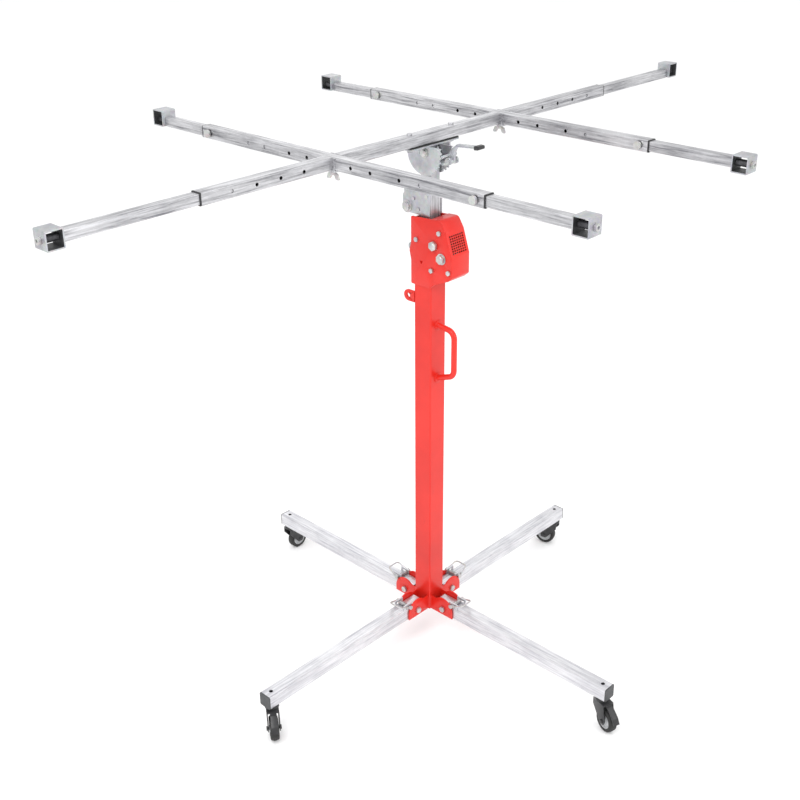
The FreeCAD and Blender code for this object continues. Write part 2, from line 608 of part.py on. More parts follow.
def build_cradle():
    """Notched quadrants under a long seat plate, the rubber pad and the tilt lever."""
    radius, top = dim("quadrant_radius"), dim("cradle_top") - 4
    quadrants = []
    for start in (dim("quadrant_gap") / 2, -dim("quadrant_gap") / 2 - dim("quadrant_plate")):
        disc = cut(bar("x", start, 0, "tilt_z", "quadrant_radius", "quadrant_plate"),
                   box(start - 1, -80, top, 6, 160, 80))
        for i in range(7):
            angle = math.radians(168 + 12 * i)
            disc = cut(disc, bar("x", start - 1, radius * math.cos(angle),
                                 "tilt_z + %f" % (radius * math.sin(angle)), 4.5, 6))
        quadrants.append(disc)
    seat = box("-cradle_length/2", "-17", top - 0.01, "cradle_length", 34, 4.01)
    welds = [box(x, -15, top - 12, 4, 30, 12.5) for x in (-60, 56)]
    cradle = cut(join(seat, *quadrants, *welds), bar("x", -40, 0, "tilt_z", "tilt_radius + 0.05", 80),
                 *[bar("z", x, 0, top - 5, 4, 20) for x in (-78, 78)])
    node("tilt_quadrants", cradle)
    node("cradle_pad", cut(box("-cradle_length/2", -17, "cradle_top", "cradle_length", 34, "pad_thickness"),
                           *[bar("z", x, 0, top - 5, 4, 20) for x in (-78, 78)]))
    # lever: hub on its pin, cross bar facing the notches, long flat handle and black sleeve
    y, z = dim("lever_y"), dim("lever_z")
    blade = plate([(y - 9, z - 2, 4), (y + 6, z - 4, 4), (y + 14, z + 10, 3), (y - 1, z + 30, 10),
                   (y - 20, z + 46, 12), (-114, 1517.2), (-114, 1511.5), (y - 18, z + 38, 10),
                   (y - 10, z + 20, 10)], -4, 8)
    paddle = plate([(-97, 1510.4), (-153, 1515.1), (-153, 1519.1), (-97, 1514.4)], -10.5, 21)
    hub = bar("x", -11.2, "lever_y", "lever_z", 8, 22.4)
    catch_y = -dim("quadrant_radius") - 4.6
    catch = bar("x", -26, catch_y, "tilt_z", 4, 52)
    lever = cut(join(blade, paddle, hub, catch), bar("x", -20, "lever_y", "lever_z", 4.05, 40))
    sleeve = plate([(-153, 1512, 2), (-168, 1513.5, 4), (-168, 1523, 4), (-153, 1522.5, 2)], -12, 24)
    node("tilt_lever", lever, sleeve)


# ---------------------------------------------------------------- cradle frame
FRAME_Z = "(frame_top - beam_side/2)"
SNAP_HOLES = (74, 137, 227, 288)
MAIN_HOLES = (445, 515, 585, 655)
SADDLE = "(beam_side + 2*fit_gap)"


def end_bush(start):
    """Plastic bush on a beam's mouth, which the arm slides through."""
    bore = "beam_side - 2*beam_wall"
    return cut(softened(mid_box(start, 0, FRAME_Z, 3, "beam_side", "beam_side"), "x", "beam_corner"),
               mid_box("(%s) - 1" % start, 0, FRAME_Z, 5, bore, bore))


def build_main_beam():
    main = square_tube("x", "-main_half", "2*main_half", "beam_side", "beam_wall", FRAME_Z, "beam_corner")
    low = "(frame_top - beam_side)"
    saddles = []
    for x in ("cross_near", "cross_far"):
        start = "%s - %s/2" % (x, SADDLE)
        main = cut(main, box(start, -30, low + " - 1", SADDLE, 60, 40))
        block = box(start + " - saddle_wall", "-saddle_length/2", low + " - saddle_floor",
                    SADDLE + " + 2*saddle_wall", "saddle_length", "beam_side + saddle_floor")
        saddles.append(cut(block, box(start, -40, low + " - fit_gap", SADDLE, 80, 60),
                           bar("z", x, 0, low + " - 10", 4.06, 20)))
    holes = [bar("y", s * x, "-beam_side/2 - 2", FRAME_Z, 4.5, 6) for x in MAIN_HOLES for s in (-1, 1)]
    holes += [bar("z", x, 0, low + " - 5", 4, 50) for x in (-78, 78)]
    bolts = []
    for x in (-78, 78):
        bolts.append(join(bar("z", x, 0, "cradle_top - 4", 4, "frame_top - cradle_top + 4"),
                          hexagon("z", x, 0, "cradle_top - 10", 7, 6.01),
                          hexagon("z", x, 0, "frame_top - 0.01", 7, 5)))
    node("main_beam", join(cut(main, *holes), *saddles), *bolts, end_bush("main_half"),
         end_bush("-main_half - 3"))


def build_cross_beams():
    for name, x in (("near", "cross_near"), ("far", "cross_far")):
        tube = square_tube("x", "-cross_half", "2*cross_half", "beam_side", "beam_wall", FRAME_Z, "beam_corner")
        holes = [bar("y", s * y, "-beam_side/2 - 2", FRAME_Z, 4.5, 6) for y in SNAP_HOLES for s in (-1, 1)]
        # the tube is drawn along X and turned so that its holed face looks towards -X
        knobs = [join(bar("y", y, "-beam_side/2 - 3", FRAME_Z, 5, 3),
                      bar("y", y, "-beam_side/2 - 8.5", FRAME_Z, 10, 5.6)) for y in (-445, 445)]
        seat = FreeCAD.Placement(V(dim(x), 0, 0), FreeCAD.Rotation(AXIS_Z, -90))
        node("cross_beam_" + name, cut(tube, *holes), *knobs, end_bush("cross_half"),
             end_bush("-cross_half - 3"), placement=seat)
        low = dim("frame_top") - dim("beam_side")
        knob = join(bar("z", x, 0, low - 15, 4, 14.5), bar("z", x, 0, low - 15, 8, 8))
        wings = plate([(-22, low - 27, 3), (-10, low - 26, 4), (-4, low - 15), (4, low - 15), (10, low - 26, 4),
                       (22, low - 27, 3), (16, low - 12, 5), (0, low - 8), (-16, low - 12, 5)],
                      dim(x) - 1.8, 3.6)
        node("wing_bolt_" + name, join(knob, wings))


# every arm: outward direction, the beam it slides in, its reach, its snap hole, stop raised (1) or not
ARMS = {
    "main_near": (180, None, "near_reach", MAIN_HOLES[3], 0),
    "main_far": (0, None, "far_reach", MAIN_HOLES[3], 1),
    "near_front": (270, "cross_near", "front_reach", SNAP_HOLES[3], 0),
    "near_rear": (90, "cross_near", "rear_reach", SNAP_HOLES[2], 1),
    "far_front": (270, "cross_far", "front_reach", SNAP_HOLES[3], 0),
    "far_rear": (90, "cross_far", "rear_reach", SNAP_HOLES[2], 1),
}


def build_arm(name, heading, beam, reach, snap, raised):
    """Sliding arm with its snap button and end bolt, and the stop that turns on the bolt.

    Drawn along X from the mast axis, then turned to its heading.  The button looks towards -Y on
    the main beam and towards -X on the cross-beams.
    """
    frame = FreeCAD.Placement(V(dim(beam) if beam else 0, 0, 0), FreeCAD.Rotation(AXIS_Z, heading))
    side = 1 if heading in (90, 180) else -1
    inboard = "(%s - snap_inset)" % snap
    tube = square_tube("x", inboard, "%s - %s" % (reach, inboard), "arm_side", "arm_wall", FRAME_Z,
                       "beam_corner")
    face = "arm_side/2 - 5" if side > 0 else "-arm_side/2 - 1"
    tube = cut(tube, bar("y", snap, face, FRAME_Z, 4.1, 6))
    plug = mid_box("%s - 8" % reach, 0, FRAME_Z, 8, "arm_side - 2*arm_wall", "arm_side - 2*arm_wall")
    bolt = join(bar("x", "%s - 8" % reach, 0, FRAME_Z, "stop_bolt", "stop_side + 10"),
                bar("x", "%s + 5" % reach, 0, FRAME_Z, 8.5, 33))
    head = cut(hexagon("x", "%s + stop_side + 0.9" % reach, 0, FRAME_Z, 9, 6.5),
               bar("x", "%s + stop_side + 4" % reach, 0, FRAME_Z, 3.6, 10))
    start = "arm_side/2 - 4.9" if side > 0 else "-arm_side/2 - 0.1"
    spring = "arm_side/2 - 6" if side > 0 else "-arm_side/2 + 4.8"
    button = join(bar("y", snap, start, FRAME_Z, 3.9, 5), mid_y_strip(snap, spring),
                  mid_y_foot(snap, side))
    node("arm_" + name, join(tube, plug, bolt, head), button, placement=frame)
    lift = "(%s + %d*stop_offset)" % (FRAME_Z, raised)
    outer = softened(mid_box("%s + 0.5" % reach, 0, lift, "stop_side", "stop_side", "stop_side"), "y",
                     "stop_corner")
    bore = "stop_side - 2*stop_wall"
    hollow = mid_box("%s + 0.5 + stop_wall" % reach, 0, lift, bore, "stop_side + 2", bore)
    node("stop_" + name, cut(outer, hollow, bar("x", "%s - 5" % reach, 0, FRAME_Z, "stop_bolt + 0.05", 80)),
         placement=frame)


def mid_y_strip(snap, y):
    """Leaf spring behind a snap button."""
    return box("%s - 6" % snap, y, FRAME_Z + " - 5", 38, 1.2, 10)


def mid_y_foot(snap, side):
    """Foot that holds the leaf spring against the arm's wall."""
    y = "arm_side/2 - 6" if side > 0 else "-arm_side/2 + arm_wall"
    return box("%s + 28" % snap, y, FRAME_Z + " - 5", 4, "6 - arm_wall", 10)


# ---------------------------------------------------------------- assemble and export
build_mast()
build_leg_brackets()
for leg_name, leg_angle in LEGS.items():
    build_leg(leg_name, leg_angle)
    build_latch(leg_name, leg_angle)
    build_caster(leg_name, leg_angle)
build_handle()
build_lug()
build_winch_frame()
build_guard()
build_drum()
build_crank()
build_pawl()
build_head()
build_cradle()
build_main_beam()
build_cross_beams()
for arm_name, arm in ARMS.items():
    build_arm(arm_name, *arm)

doc.recompute()

for obj in doc.Objects:
    if any(flag in obj.State for flag in ("Invalid", "Error")):
        raise RuntimeError("%s (%s) failed: %s" % (obj.Name, obj.Label, obj.State))

os.makedirs("parts", exist_ok=True)
for name, obj in parts.items():
    shape = obj.Shape
    if shape.isNull() or not shape.isValid():
        raise RuntimeError("%s has a bad shape" % name)
    shape.exportStep("parts/%s.step" % name)
print("%d nodes" % len(parts))
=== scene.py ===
"""Looks of the drywall lift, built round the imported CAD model. Metres, +Z up, mast on the Z axis."""

import json
import math
import random

import bmesh
import bpy
from mathutils import Matrix, Vector


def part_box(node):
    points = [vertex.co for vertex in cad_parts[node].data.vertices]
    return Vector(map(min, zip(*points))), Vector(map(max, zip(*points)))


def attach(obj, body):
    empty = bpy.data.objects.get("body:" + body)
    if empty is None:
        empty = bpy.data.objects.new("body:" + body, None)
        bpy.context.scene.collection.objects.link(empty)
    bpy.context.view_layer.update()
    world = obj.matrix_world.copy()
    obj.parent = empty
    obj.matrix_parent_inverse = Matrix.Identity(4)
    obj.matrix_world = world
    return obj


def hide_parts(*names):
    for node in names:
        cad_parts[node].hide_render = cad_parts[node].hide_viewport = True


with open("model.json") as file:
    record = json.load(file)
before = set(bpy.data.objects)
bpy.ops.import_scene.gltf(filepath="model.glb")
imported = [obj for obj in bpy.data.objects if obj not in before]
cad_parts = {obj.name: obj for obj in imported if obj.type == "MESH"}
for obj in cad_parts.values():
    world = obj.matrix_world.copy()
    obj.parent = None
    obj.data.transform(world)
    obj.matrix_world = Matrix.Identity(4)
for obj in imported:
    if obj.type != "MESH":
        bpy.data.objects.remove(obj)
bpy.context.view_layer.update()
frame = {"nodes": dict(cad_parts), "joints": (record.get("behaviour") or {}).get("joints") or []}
NODES = frame["nodes"]
JOINTS = {joint["name"]: joint for joint in frame["joints"]}

# where each leg and each arm points, in degrees about the mast from +X
LEGS = {"front_left": 180, "front_right": 270, "rear_left": 90, "rear_right": 0}
ARMS = {"main_near": 180, "main_far": 0, "near_front": 270, "near_rear": 90, "far_front": 270, "far_rear": 90}

MAST_HALF = 0.030    # half the outer mast's side
BEAM_SIDE = 0.030    # side of the cross-beams' tube
END_CAP = 0.003      # thickness of the legs' end caps and the beams' end bushes
PROUD = 0.0006       # how far a welded or fitted detail stands off its face


# ---------------------------------------------------------------- materials
class Finish:
    """A node material under construction: a Principled shader and helpers that feed it.

    Colours are linear RGB, patterns follow the object's own coordinates and depths are metres.
    """

    MIX_INPUTS = (0, 6, 7)    # factor and the two colours of a Mix node set to RGBA
    MIX_RESULT = 2

    def __init__(self, name, colour, metallic=0.0, roughness=0.5, **sockets):
        self.material = bpy.data.materials.new(name)
        self.material.use_nodes = True
        self.tree = self.material.node_tree
        self.shader = self.tree.nodes["Principled BSDF"]
        self.shader.inputs["Base Color"].default_value = (*colour, 1)
        self.shader.inputs["Metallic"].default_value = metallic
        self.shader.inputs["Roughness"].default_value = roughness
        for socket, value in sockets.items():
            self.shader.inputs[socket.replace("_", " ")].default_value = value
        self.coords = self.tree.nodes.new("ShaderNodeTexCoord").outputs["Object"]

    def node(self, kind, **values):
        """New shader node with some of its properties set."""
        made = self.tree.nodes.new(kind)
        for key, value in values.items():
            setattr(made, key, value)
        return made

    def link(self, source, target):
        self.tree.links.new(source, target)

    def stretched(self, stretch):
        """Object coordinates scaled along each axis."""
        mapping = self.node("ShaderNodeMapping")
        mapping.inputs["Scale"].default_value = stretch
        self.link(self.coords, mapping.inputs["Vector"])
        return mapping.outputs["Vector"]

    def noise(self, scale, stretch=(1, 1, 1), detail=4, rough=0.55):
        texture = self.node("ShaderNodeTexNoise")
        texture.inputs["Scale"].default_value = scale
        texture.inputs["Detail"].default_value = detail
        texture.inputs["Roughness"].default_value = rough
        self.link(self.stretched(stretch), texture.inputs["Vector"])
        return texture.outputs["Fac"]

    def cells(self, scale, stretch=(1, 1, 1)):
        texture = self.node("ShaderNodeTexVoronoi")
        texture.inputs["Scale"].default_value = scale
        self.link(self.stretched(stretch), texture.inputs["Vector"])
        return texture.outputs["Color"]

    def ramp(self, source, stops):
        """Colour ramp through (place, colour) stops."""
        ramp = self.node("ShaderNodeValToRGB")
        elements = ramp.color_ramp.elements
        while len(elements) < len(stops):
            elements.new(0.5)
        for element, (place, colour) in zip(elements, stops):
            element.position = place
            element.color = (*colour, 1)
        self.link(source, ramp.inputs["Fac"])
        return ramp.outputs["Color"]

    def mix(self, factor, first, second, kind="MIX"):
        """Two colours blended; each argument is a number, a colour or another node's output."""
        mixer = self.node("ShaderNodeMix", data_type="RGBA", blend_type=kind)
        for index, value in zip(self.MIX_INPUTS, (factor, first, second)):
            socket = mixer.inputs[index]
            if isinstance(value, (int, float)):
                socket.default_value = value
            elif isinstance(value, tuple):
                socket.default_value = (*value, 1)
            else:
                self.link(value, socket)
        return mixer.outputs[self.MIX_RESULT]

    def spread(self, source, low, high):
        """Source's 0 to 1 mapped to low to high."""
        remap = self.node("ShaderNodeMapRange")
        remap.inputs["To Min"].default_value = low
        remap.inputs["To Max"].default_value = high
        self.link(source, remap.inputs["Value"])
        return remap.outputs["Result"]

    def colour(self, source):
        self.link(source, self.shader.inputs["Base Color"])
        return self

    def rough(self, source):
        self.link(source, self.shader.inputs["Roughness"])
        return self

    def bump(self, source, depth, strength=1.0):
        bump = self.node("ShaderNodeBump")
        bump.inputs["Strength"].default_value = strength
        bump.inputs["Distance"].default_value = depth
        self.link(source, bump.inputs["Height"])
        self.link(bump.outputs["Normal"], self.shader.inputs["Normal"])
        return self


def red_paint():
    """Glossy red powder coat: slight orange peel, faint dust and a few darker rubbed patches."""
    red = Finish("red_paint", (0.66, 0.016, 0.008), roughness=0.40, Specular_IOR_Level=0.4, Coat_Weight=0.12,
                 Coat_Roughness=0.2)
    tone = red.ramp(red.noise(5, detail=6), [(0.32, (0.58, 0.012, 0.006)), (0.68, (0.74, 0.020, 0.010))])
    rubs = red.ramp(red.noise(38, (1, 1, 0.5), 8, 0.7), [(0.60, (0, 0, 0)), (0.74, (1, 1, 1))])
    red.colour(red.mix(red.mix(1.0, rubs, (0.22, 0.22, 0.22), "MULTIPLY"), tone, (0.36, 0.007, 0.005)))
    red.rough(red.spread(red.noise(24, detail=6), 0.27, 0.45))
    return red.bump(red.noise(520, detail=2), 0.0006, 0.16).material


def drawn_tube(name, axis, lightness=1.0):
    """Bright galvanised tube drawn along one axis: long streaks, mill spots and small scratches.

    A lightness above 1 lifts every grey towards white.
    """
    def grey(level, blue=1.03):
        level = 1 - (1 - level) / lightness
        return level, level, min(level * blue, 1.0)

    along = [22.0, 22.0, 22.0]
    along["xyz".index(axis)] = 0.9
    tube = Finish(name, (0.72, 0.73, 0.75), metallic=0.85, roughness=0.34)
    streak = tube.ramp(tube.noise(9, tuple(along), 7, 0.68),
                       [(0.34, grey(0.20, 1.1)), (0.47, grey(0.48)), (0.62, grey(0.70))])
    cloud = tube.ramp(tube.noise(7, detail=6, rough=0.65), [(0.35, grey(0.62)), (0.60, (1, 1, 1))])
    tube.colour(tube.mix(0.75, streak, cloud, "MULTIPLY"))
    tube.rough(tube.spread(tube.noise(14, tuple(along), 5), 0.22, 0.50))
    return tube.bump(tube.noise(60, tuple(along), 4), 0.0005, 0.22).material


def galvanised(name="galvanised", tint=(0.56, 0.57, 0.59)):
    """Zinc-plated sheet: soft spangle, light grey blotches."""
    zinc = Finish(name, tint, metallic=0.8, roughness=0.38)
    spangle = zinc.mix(0.10, tint, zinc.cells(130), "MULTIPLY")
    blotch = zinc.ramp(zinc.noise(26, detail=7, rough=0.65), [(0.34, (0.62, 0.62, 0.64)), (0.66, (1, 1, 1))])
    zinc.colour(zinc.mix(0.8, spangle, blotch, "MULTIPLY"))
    zinc.rough(zinc.spread(zinc.noise(70, detail=6), 0.28, 0.50))
    return zinc.bump(zinc.noise(260, detail=3), 0.0004, 0.2).material


def speckled(name, dark, light, roughness, scale, depth, metallic=0.0, **sockets):
    """A moulded, cast or coated surface with two close tones and a fine grain."""
    plain = Finish(name, light, metallic=metallic, roughness=roughness, **sockets)
    plain.colour(plain.ramp(plain.noise(scale, detail=6, rough=0.65), [(0.35, dark), (0.66, light)]))
    plain.rough(plain.spread(plain.noise(scale * 2, detail=4), roughness - 0.07, roughness + 0.1))
    return plain.bump(plain.noise(scale * 12, detail=3), depth, 0.3).material


MATERIALS = {
    "red": red_paint(),
    "tube_x": drawn_tube("tube_along_x", "x"),
    "tube_y": drawn_tube("tube_along_y", "y"),
    "tube_z": drawn_tube("tube_along_z", "z"),
    "light_x": drawn_tube("light_tube_along_x", "x", 1.5),
    "light_y": drawn_tube("light_tube_along_y", "y", 1.5),
    "galvanised": galvanised(),
    "zinc": galvanised("zinc_bolt", (0.66, 0.65, 0.64)),
    "cast": speckled("cast_iron", (0.05, 0.05, 0.055), (0.11, 0.11, 0.12), 0.5, 60, 0.0008, 0.6),
    "black_paint": speckled("black_paint", (0.012, 0.012, 0.013), (0.03, 0.03, 0.032), 0.36, 40, 0.0004),
    "black_plastic": speckled("black_plastic", (0.010, 0.010, 0.011), (0.028, 0.028, 0.030), 0.42, 50,
                              0.0005),
    "rubber": speckled("rubber", (0.006, 0.006, 0.006), (0.018, 0.018, 0.017), 0.62, 70, 0.0008),
    # dark plug material, used for the legs' real end plugs and as painted shade inside the stops
    "plug_and_shade": speckled("dark_plug_and_shade", (0.03, 0.032, 0.034), (0.065, 0.067, 0.07), 0.5, 60, 0.0006),
    "hub": speckled("hub_grey", (0.34, 0.35, 0.36), (0.46, 0.47, 0.48), 0.4, 50, 0.0004),
    "nylon": speckled("nylon", (0.68, 0.68, 0.64), (0.80, 0.80, 0.76), 0.45, 50, 0.0004),
    "rope": speckled("steel_rope", (0.20, 0.20, 0.21), (0.46, 0.46, 0.48), 0.38, 420, 0.0012, 0.85),
}


# ---------------------------------------------------------------- mesh helpers
def publish(name, mesh_data, material, body, smooth_angle=35):
    """Object from a bmesh, shaded smooth below the angle, riding on a CAD body."""
    mesh = bpy.data.meshes.new(name)
    bmesh.ops.remove_doubles(mesh_data, verts=mesh_data.verts[:], dist=1e-6)
    bmesh.ops.recalc_face_normals(mesh_data, faces=mesh_data.faces)
    mesh_data.to_mesh(mesh)
    mesh_data.free()
    mesh.materials.append(MATERIALS[material])
    piece = bpy.data.objects.new(name, mesh)
    bpy.context.scene.collection.objects.link(piece)
    smooth(mesh, smooth_angle)
    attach(piece, body)
    return piece


def smooth(mesh, angle):
    """Smooth faces with a sharp edge wherever two faces meet at more than the angle."""
    for face in mesh.polygons:
        face.use_smooth = True
    mesh.set_sharp_from_angle(angle=math.radians(angle))


def frame_along(direction):
    """Rotation that takes +Z to the direction."""
    return Vector(direction).normalized().to_track_quat("Z", "Y").to_matrix().to_4x4()


def lathe(data, profile, base, direction, steps=48):
    """Surface of revolution: (radius, height) points about the direction from base."""
    place = Matrix.Translation(base) @ frame_along(direction)
    rings = []
    for radius, height in profile:
        if radius == 0:
            rings.append([data.verts.new(place @ Vector((0, 0, height)))])
            continue
        turn = [2 * math.pi * i / steps for i in range(steps)]
        rings.append([data.verts.new(place @ Vector((radius * math.cos(a), radius * math.sin(a), height)))
                      for a in turn])
    for lower, upper in zip(rings, rings[1:]):
        for i in range(steps):
            j = (i + 1) % steps
            corners = [lower[i % len(lower)], lower[j % len(lower)],
                       upper[j % len(upper)], upper[i % len(upper)]]
            unique = list(dict.fromkeys(corners))
            if len(unique) > 2:
                data.faces.new(unique)


def mirrored(half):
    """Closed lathe profile from its upper half, repeated below height 0."""
    lower = [(radius, -height) for radius, height in half]
    return lower + half[::-1] + lower[:1]


def rod(data, points, radius, sides=12):
    """Round rod through the points; radius is a number or a function of the point's index."""
    size = radius if callable(radius) else lambda i: radius
    points = [Vector(p) for p in points]
    rings, normal = [], None
    for i, point in enumerate(points):
        ahead, behind = points[min(i + 1, len(points) - 1)], points[max(i - 1, 0)]
        tangent = (ahead - behind).normalized()
        if normal is None:
            normal = tangent.orthogonal().normalized()
        normal = (normal - tangent * normal.dot(tangent)).normalized()
        side = tangent.cross(normal)
        rings.append([data.verts.new(point + (normal * math.cos(a) + side * math.sin(a)) * size(i))
                      for a in (2 * math.pi * k / sides for k in range(sides))])
    for lower, upper in zip(rings, rings[1:]):
        for k in range(sides):
            data.faces.new((lower[k], lower[(k + 1) % sides], upper[(k + 1) % sides], upper[k]))
    data.faces.new(rings[0][::-1])
    data.faces.new(rings[-1])


def helix(base, direction, radius, pitch, turns, start=0.0, per_turn=28):
    """Points of a coil climbing from base along the direction."""
    place = Matrix.Translation(base) @ frame_along(direction)
    return [place @ Vector((radius * math.cos(start + 2 * math.pi * i / per_turn),
                            radius * math.sin(start + 2 * math.pi * i / per_turn), pitch * i / per_turn))
            for i in range(int(turns * per_turn) + 1)]


def turn_z(angle, point):
    """Point turned about the mast axis by an angle in degrees."""
    return Matrix.Rotation(math.radians(angle), 4, "Z") @ Vector(point)


# ---------------------------------------------------------------- finishes of the CAD nodes
def soften(node, width=0.0007):
    """Small rounded edges on a CAD node, so that its corners catch the light."""
    weld = node.modifiers.new("join", "WELD")
    weld.merge_threshold = 0.00002
    bevel = node.modifiers.new("edge", "BEVEL")
    bevel.width = width
    bevel.segments = 2
    bevel.limit_method = "ANGLE"
    bevel.angle_limit = math.radians(50)
    bevel.use_clamp_overlap = True
    bevel.harden_normals = False


def finish_nodes(material, names, width=0.0007):
    """Main material of some CAD nodes, with softened edges unless the width is 0."""
    for name in names:
        node = NODES[name]
        node.data.materials.clear()
        node.data.materials.append(MATERIALS[material])
        smooth(node.data, 35)
        if width:
            soften(node, width)


def repaint(name, material, wanted):
    """Give the faces of a CAD node whose centre passes the test another material."""
    node = NODES[name]
    node.data.materials.append(MATERIALS[material])
    index = len(node.data.materials) - 1
    for face in node.data.polygons:
        if wanted(face.center):
            face.material_index = index


def dress_cad():
    """Main material of every CAD node. Tubes, stops and turned pieces have their round edges from the CAD."""
    finish_nodes("red", ["leg_brackets", "mast_lug", "winch_plate_near", "winch_plate_far",
                         "winch_guard", "carry_handle"])
    finish_nodes("red", ["outer_mast"], 0)
    finish_nodes("tube_z", ["middle_mast", "inner_mast"], 0)
    finish_nodes("tube_x", ["main_beam", "arm_main_near", "arm_main_far"], 0)
    finish_nodes("tube_y", ["cross_beam_near", "cross_beam_far", "arm_near_front", "arm_near_rear",
                            "arm_far_front", "arm_far_rear"], 0)
    finish_nodes("light_x", ["front_left_leg", "rear_right_leg"], 0)
    finish_nodes("light_y", ["front_right_leg", "rear_left_leg"], 0)
    finish_nodes("galvanised", ["stop_" + arm for arm in ARMS], 0)
    finish_nodes("galvanised", ["head_bracket", "head_column", "tilt_quadrants", "tilt_lever", "crank_arm"])
    finish_nodes("zinc", ["leg_pivot_bolts", "winch_bolts", "fold_bolts", "tilt_bolts", "wing_bolt_near",
                          "wing_bolt_far", "pinion_shaft"] + [leg + "_latch" for leg in LEGS], 0.0005)
    finish_nodes("cast", ["drum_gear", "ratchet_pawl", "rope_drum"], 0.0003)
    finish_nodes("rope", ["hoist_rope"], 0)
    finish_nodes("rubber", ["cradle_pad"], 0.0005)
    finish_nodes("black_plastic", ["crank_grip"], 0)
    finish_nodes("nylon", ["outer_glides", "middle_glides"], 0)
    finish_nodes("black_paint", [leg + "_caster_fork" for leg in LEGS], 0.0005)
    finish_nodes("rubber", [leg + "_caster_wheel" for leg in LEGS], 0)


def dress_details():
    """Second materials inside one CAD node: plugs, bushes, knobs, bolt ends, the lever's tip and painted
    shade inside the stops.
    """
    slack, hair = 0.0005, 0.0001
    leg_start, leg_end = 0.050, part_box("rear_right_leg")[1].x - END_CAP
    for leg, angle in LEGS.items():
        repaint(leg + "_leg", "plug_and_shade",
                lambda centre: not leg_start + slack <= turn_z(-angle, centre).x <= leg_end - slack)
    main_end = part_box("main_beam")[1].x - END_CAP - hair
    repaint("main_beam", "black_plastic", lambda centre: abs(centre.x) > main_end)
    for beam in ("cross_beam_near", "cross_beam_far"):
        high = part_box(beam)[1]
        cross_end, knob_face = high.y - END_CAP - hair, high.x - BEAM_SIDE - 2 * hair
        repaint(beam, "black_plastic", lambda centre: abs(centre.y) > cross_end)
        repaint(beam, "zinc", lambda centre: centre.x < knob_face)
    lever_tip = -0.1529
    repaint("tilt_lever", "black_plastic", lambda centre: centre.y < lever_tip)
    stop_wall = 0.0015
    for arm, angle in ARMS.items():
        low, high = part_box("stop_" + arm)
        middle, half = (low + high) / 2, (high - low) / 2
        # the stops' inner faces take the dark plug material as painted shade inside the hollow boxes
        repaint("stop_" + arm, "plug_and_shade",
                lambda centre: all(abs(centre[k] - middle[k]) < half[k] - stop_wall for k in range(3)))
        outward = turn_z(angle, (1, 0, 0))
        inner, outer = sorted((low.dot(outward), high.dot(outward)))
        repaint("arm_" + arm, "cast", lambda centre: centre.dot(outward) > inner - PROUD)
        repaint("arm_" + arm, "zinc", lambda centre: centre.dot(outward) > outer - PROUD)


# ---------------------------------------------------------------- replacement pieces
def caster_wheel(leg):
    """Crowned rubber tyre on a moulded grey hub with a stepped cap on each side."""
    node = leg + "_caster_wheel"
    low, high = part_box(node)
    axle = JOINTS[leg + "_roll"]
    centre, axis = Vector(axle["pos_m"]), Vector(axle["axis"]).normalized()
    radius, half = (high.z - low.z) / 2, 0.012
    shoulder = [(0.0225, half - 0.002), (0.0235, half - 0.001), (0.0285, half), (0.0305, half - 0.0005),
                (0.0328, half - 0.0028), (radius - 0.0006, 0.0060), (radius, 0.0025)]
    data = bmesh.new()
    lathe(data, mirrored(shoulder), centre, axis, 72)
    tyre = publish(leg + "_tyre", data, "rubber", leg + "_wheel")
    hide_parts(node)
    data = bmesh.new()
    hub = [(0.0046, half + 0.0011), (0.0095, half + 0.0011), (0.0115, half - 0.0002), (0.0120, half - 0.0032),
           (0.0200, half - 0.0042), (0.0218, half - 0.0018), (0.0234, half - 0.0014)]
    lathe(data, mirrored(hub), centre, axis, 60)
    place = Matrix.Translation(centre) @ frame_along(axis)
    ribs, rib_start, rib_end, rib_face = 5, 0.0118, 0.0208, half - 0.0036
    for k in range(ribs):
        angle = 2 * math.pi * k / ribs
        ray = Vector((math.cos(angle), math.sin(angle), 0))
        for side in (-1, 1):
            level = Vector((0, 0, side * rib_face))
            rod(data, [place @ (ray * rib_start + level), place @ (ray * rib_end + level)], 0.0014, 8)
    hub_piece = publish(leg + "_hub", data, "hub", leg + "_wheel")


def hoist_rope():
    """Steel rope wound in two layers on the drum."""
    low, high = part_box("hoist_rope")
    centre = (low + high) / 2
    width, thick = high.x - low.x, 0.0042
    turns = int(width / thick) - 0.2
    gap, flange_gap, layer_shift = 0.0001, 0.0003, 2.0
    start = Vector((low.x + thick / 2 + flange_gap, centre.y, centre.z))
    data = bmesh.new()
    for layer, radius in enumerate((0.0202, 0.0232)):
        coil = helix(start, (1, 0, 0), radius, thick + gap, turns - layer, layer * layer_shift, 40)
        rod(data, coil, thick / 2, 10)
    rope = publish("rope_winding", data, "rope", "drum")
    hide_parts("hoist_rope")


def crank_grip():
    """Moulded grip with finger grooves and a domed end."""
    low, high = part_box("crank_grip")
    centre = (low + high) / 2
    length = high.x - low.x
    bore, ribbed_start, ribbed_length = 0.0056, 0.005, length - 0.014
    steps, rib_depth = 56, 0.0008
    profile = [(bore, 0), (0.0115, 0), (0.0134, 0.0018), (0.0138, ribbed_start)]
    for k in range(1, steps):
        radius = 0.0130 + rib_depth * math.cos(k * math.pi / 3.5)
        profile.append((radius, ribbed_start + ribbed_length * k / steps))
    profile += [(0.0136, length - 0.008), (0.0128, length - 0.004), (0.0108, length - 0.001),
                (bore, length), (bore, 0)]
    data = bmesh.new()
    lathe(data, profile, (low.x, centre.y, centre.z), (1, 0, 0), 48)
    grip = publish("ribbed_grip", data, "black_plastic", "grip")
    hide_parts("crank_grip")


